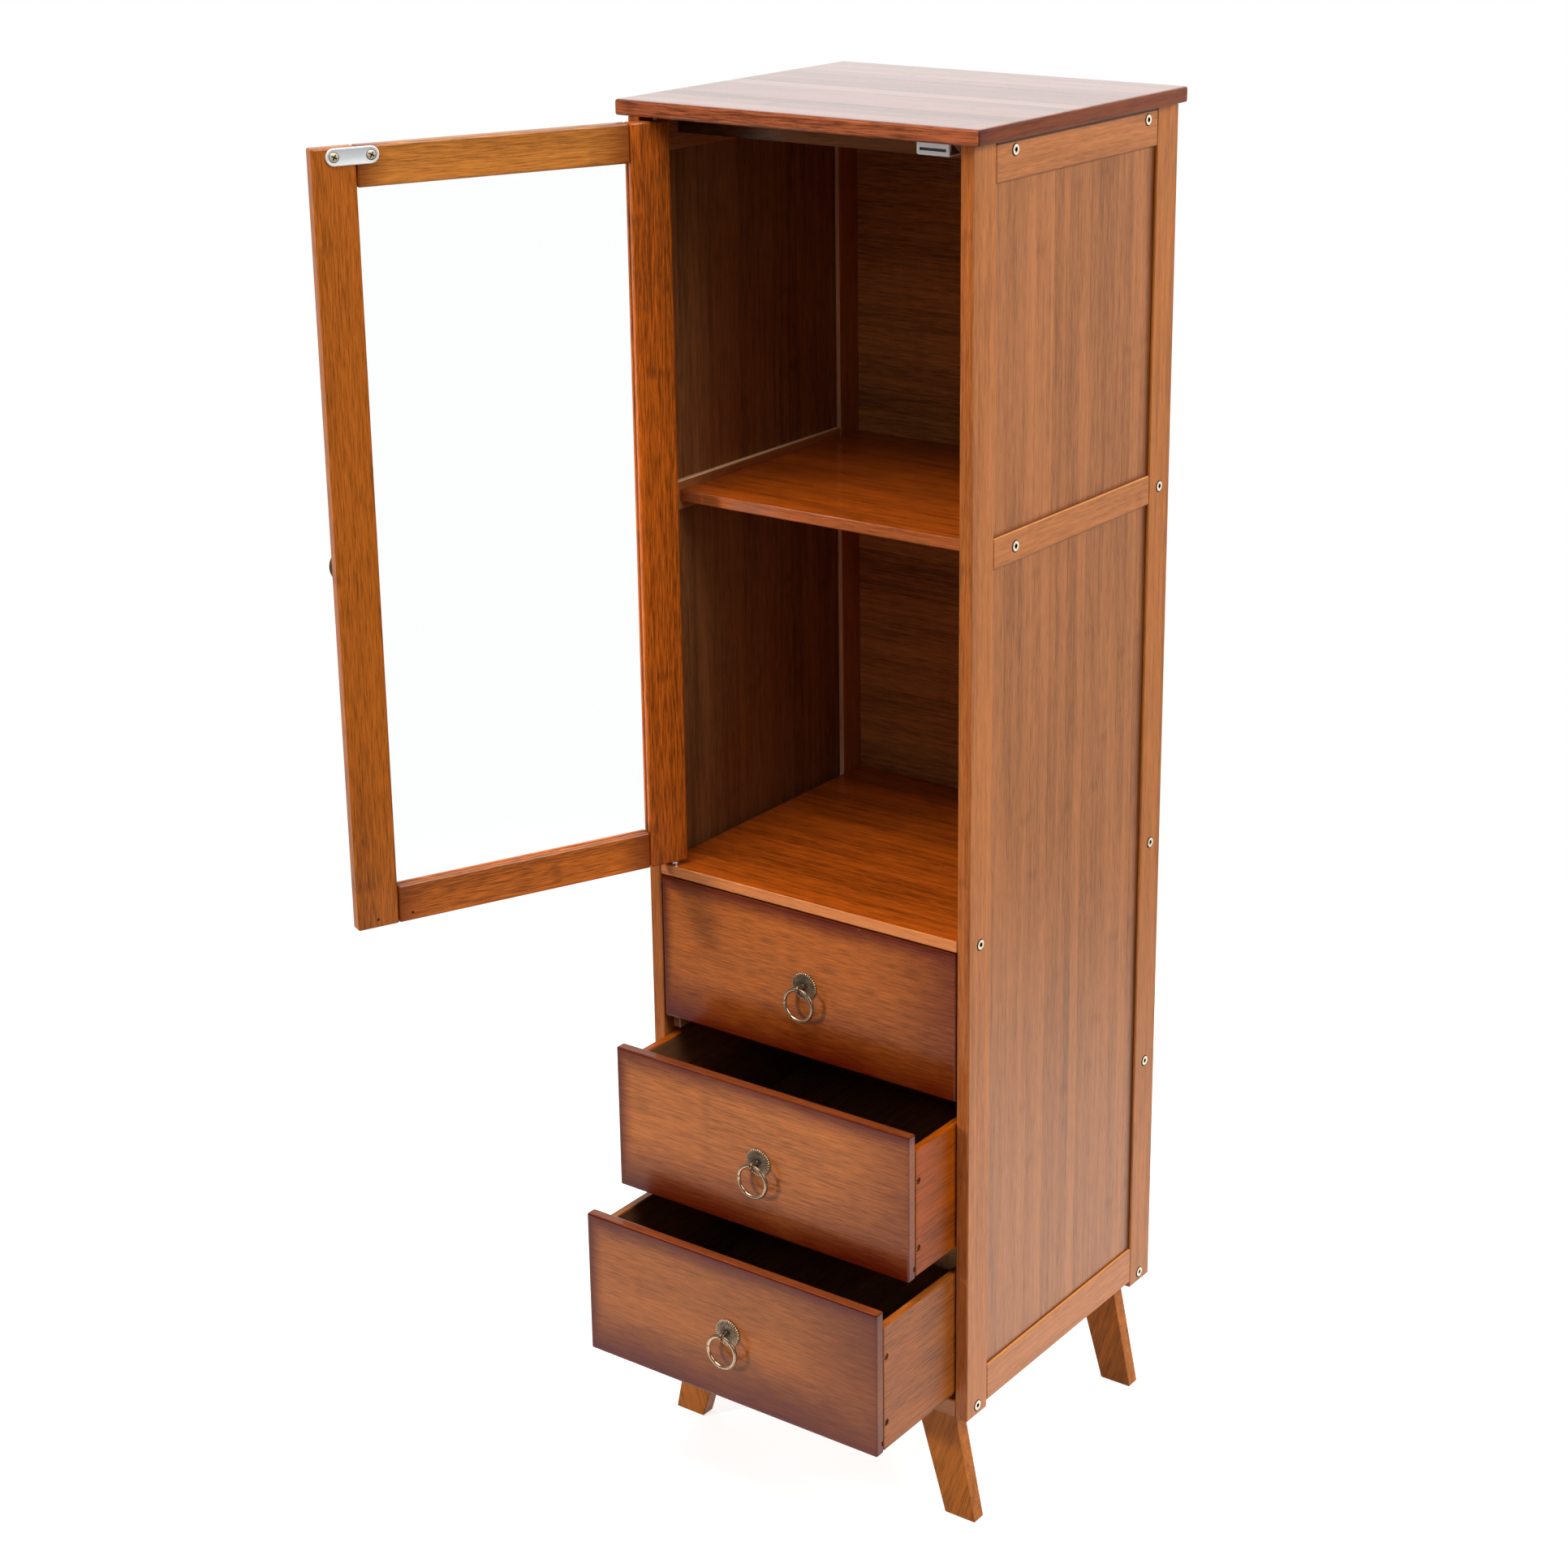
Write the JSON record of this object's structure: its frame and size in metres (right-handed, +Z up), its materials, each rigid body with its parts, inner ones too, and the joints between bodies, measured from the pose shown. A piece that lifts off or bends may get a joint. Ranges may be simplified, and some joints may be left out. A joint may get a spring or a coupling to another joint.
{
  "type": "bathroom cabinet",
  "caption": "Tall free-standing bamboo bathroom cabinet with a glass door on pivot pins over a shelf, sliding drawers with ring pulls, panelled sides and splayed legs.",
  "frame": {"origin": "on the floor, under the middle of the whole object as it stands with its door and drawers open", "axes": "+Z up, -Y to the front, +X to the right as seen from the front"},
  "size_m": [0.4474, 0.5718, 1.2],
  "materials": {
    "top_bamboo": "stained bamboo board under gloss lacquer",
    "frame_bamboo": "stained bamboo under satin lacquer",
    "panel_bamboo": "stained bamboo strips under satin lacquer",
    "shelf_bamboo": "stained bamboo board under gloss lacquer",
    "dark_bamboo": "dark stained bamboo ply, matt",
    "raw_bamboo": "unstained bamboo, matt",
    "door_bamboo": "stained bamboo under gloss lacquer",
    "clear_glass": "clear sheet glass",
    "drawer_front_bamboo": "stained bamboo with darker edges under gloss lacquer",
    "drawer_box_bamboo": "stained bamboo, satin",
    "antique_brass": "darkened brass with rubbed edges",
    "bright_zinc": "bright zinc plated steel",
    "white_plastic": "moulded white plastic"
  },
  "bodies": {
    "case": {"top_panel": "top_bamboo", "bottom_board": "frame_bamboo", "left_front_stile": "frame_bamboo", "left_back_stile": "frame_bamboo", "left_top_rail": "frame_bamboo", "left_middle_rail": "frame_bamboo", "left_bottom_rail": "frame_bamboo", "front_left_leg": "frame_bamboo", "rear_left_leg": "frame_bamboo", "right_front_stile": "frame_bamboo", "right_back_stile": "frame_bamboo", "right_top_rail": "frame_bamboo", "right_middle_rail": "frame_bamboo", "right_bottom_rail": "frame_bamboo", "front_right_leg": "frame_bamboo", "rear_right_leg": "frame_bamboo", "left_upper_panel": "panel_bamboo", "left_lower_panel": "panel_bamboo", "right_upper_panel": "panel_bamboo", "right_lower_panel": "panel_bamboo", "compartment_floor": "shelf_bamboo", "middle_shelf": "shelf_bamboo", "back_panel": "dark_bamboo", "low_back_batten": "dark_bamboo", "left_top_runner": "raw_bamboo", "left_middle_runner": "raw_bamboo", "right_top_runner": "raw_bamboo", "right_middle_runner": "raw_bamboo", "lower_pivot_pin": "bright_zinc", "upper_pivot_pin": "bright_zinc", "magnetic_catch": "white_plastic"},
    "door": {"door_hinge_stile": "door_bamboo", "door_lock_stile": "door_bamboo", "door_top_rail": "door_bamboo", "door_bottom_rail": "door_bamboo", "door_glass": "clear_glass", "door_strike_plate": "bright_zinc", "door_pull_plate": "antique_brass"},
    "door_ring": {"door_pull_ring": "antique_brass"},
    "drawer_top": {"drawer_top_front": "drawer_front_bamboo", "drawer_top_left_side": "drawer_box_bamboo", "drawer_top_right_side": "drawer_box_bamboo", "drawer_top_back": "drawer_box_bamboo", "drawer_top_bottom": "drawer_box_bamboo", "drawer_top_pull_plate": "antique_brass"},
    "drawer_top_ring": {"drawer_top_pull_ring": "antique_brass"},
    "drawer_middle": {"drawer_middle_front": "drawer_front_bamboo", "drawer_middle_left_side": "drawer_box_bamboo", "drawer_middle_right_side": "drawer_box_bamboo", "drawer_middle_back": "drawer_box_bamboo", "drawer_middle_bottom": "drawer_box_bamboo", "drawer_middle_pull_plate": "antique_brass"},
    "drawer_middle_ring": {"drawer_middle_pull_ring": "antique_brass"},
    "drawer_bottom": {"drawer_bottom_front": "drawer_front_bamboo", "drawer_bottom_left_side": "drawer_box_bamboo", "drawer_bottom_right_side": "drawer_box_bamboo", "drawer_bottom_back": "drawer_box_bamboo", "drawer_bottom_bottom": "drawer_box_bamboo", "drawer_bottom_pull_plate": "antique_brass"},
    "drawer_bottom_ring": {"drawer_bottom_pull_ring": "antique_brass"}
  },
  "joints": [
    {"name": "door_swing", "type": "hinge", "parent": "case", "child": "door", "pos_m": [-0.09102, -0.01709, 0], "axis": [0, 0, -1], "range_deg": [-114, 10]},
    {"name": "door_ring_swing", "type": "hinge", "parent": "door", "child": "door_ring", "pos_m": [-0.21666, -0.26165, 0.86725], "axis": [0.4067, 0.9135, 0], "range_deg": [-12, 168]},
    {"name": "drawer_top_slide", "type": "slide", "parent": "case", "child": "drawer_top", "axis": [0, -1, 0], "range_m": [0, 0.2]},
    {"name": "drawer_top_ring_swing", "type": "hinge", "parent": "drawer_top", "child": "drawer_top_ring", "pos_m": [0.05044, -0.03239, 0.46975], "axis": [-1, 0, 0], "range_deg": [-12, 168]},
    {"name": "drawer_middle_slide", "type": "slide", "parent": "case", "child": "drawer_middle", "axis": [0, -1, 0], "range_m": [-0.068, 0.132]},
    {"name": "drawer_middle_ring_swing", "type": "hinge", "parent": "drawer_middle", "child": "drawer_middle_ring", "pos_m": [0.05044, -0.10039, 0.33425], "axis": [-1, 0, 0], "range_deg": [-12, 168]},
    {"name": "drawer_bottom_slide", "type": "slide", "parent": "case", "child": "drawer_bottom", "axis": [0, -1, 0], "range_m": [-0.1145, 0.0855]},
    {"name": "drawer_bottom_ring_swing", "type": "hinge", "parent": "drawer_bottom", "child": "drawer_bottom_ring", "pos_m": [0.05044, -0.14689, 0.19525], "axis": [-1, 0, 0], "range_deg": [-12, 168]}
  ]
}
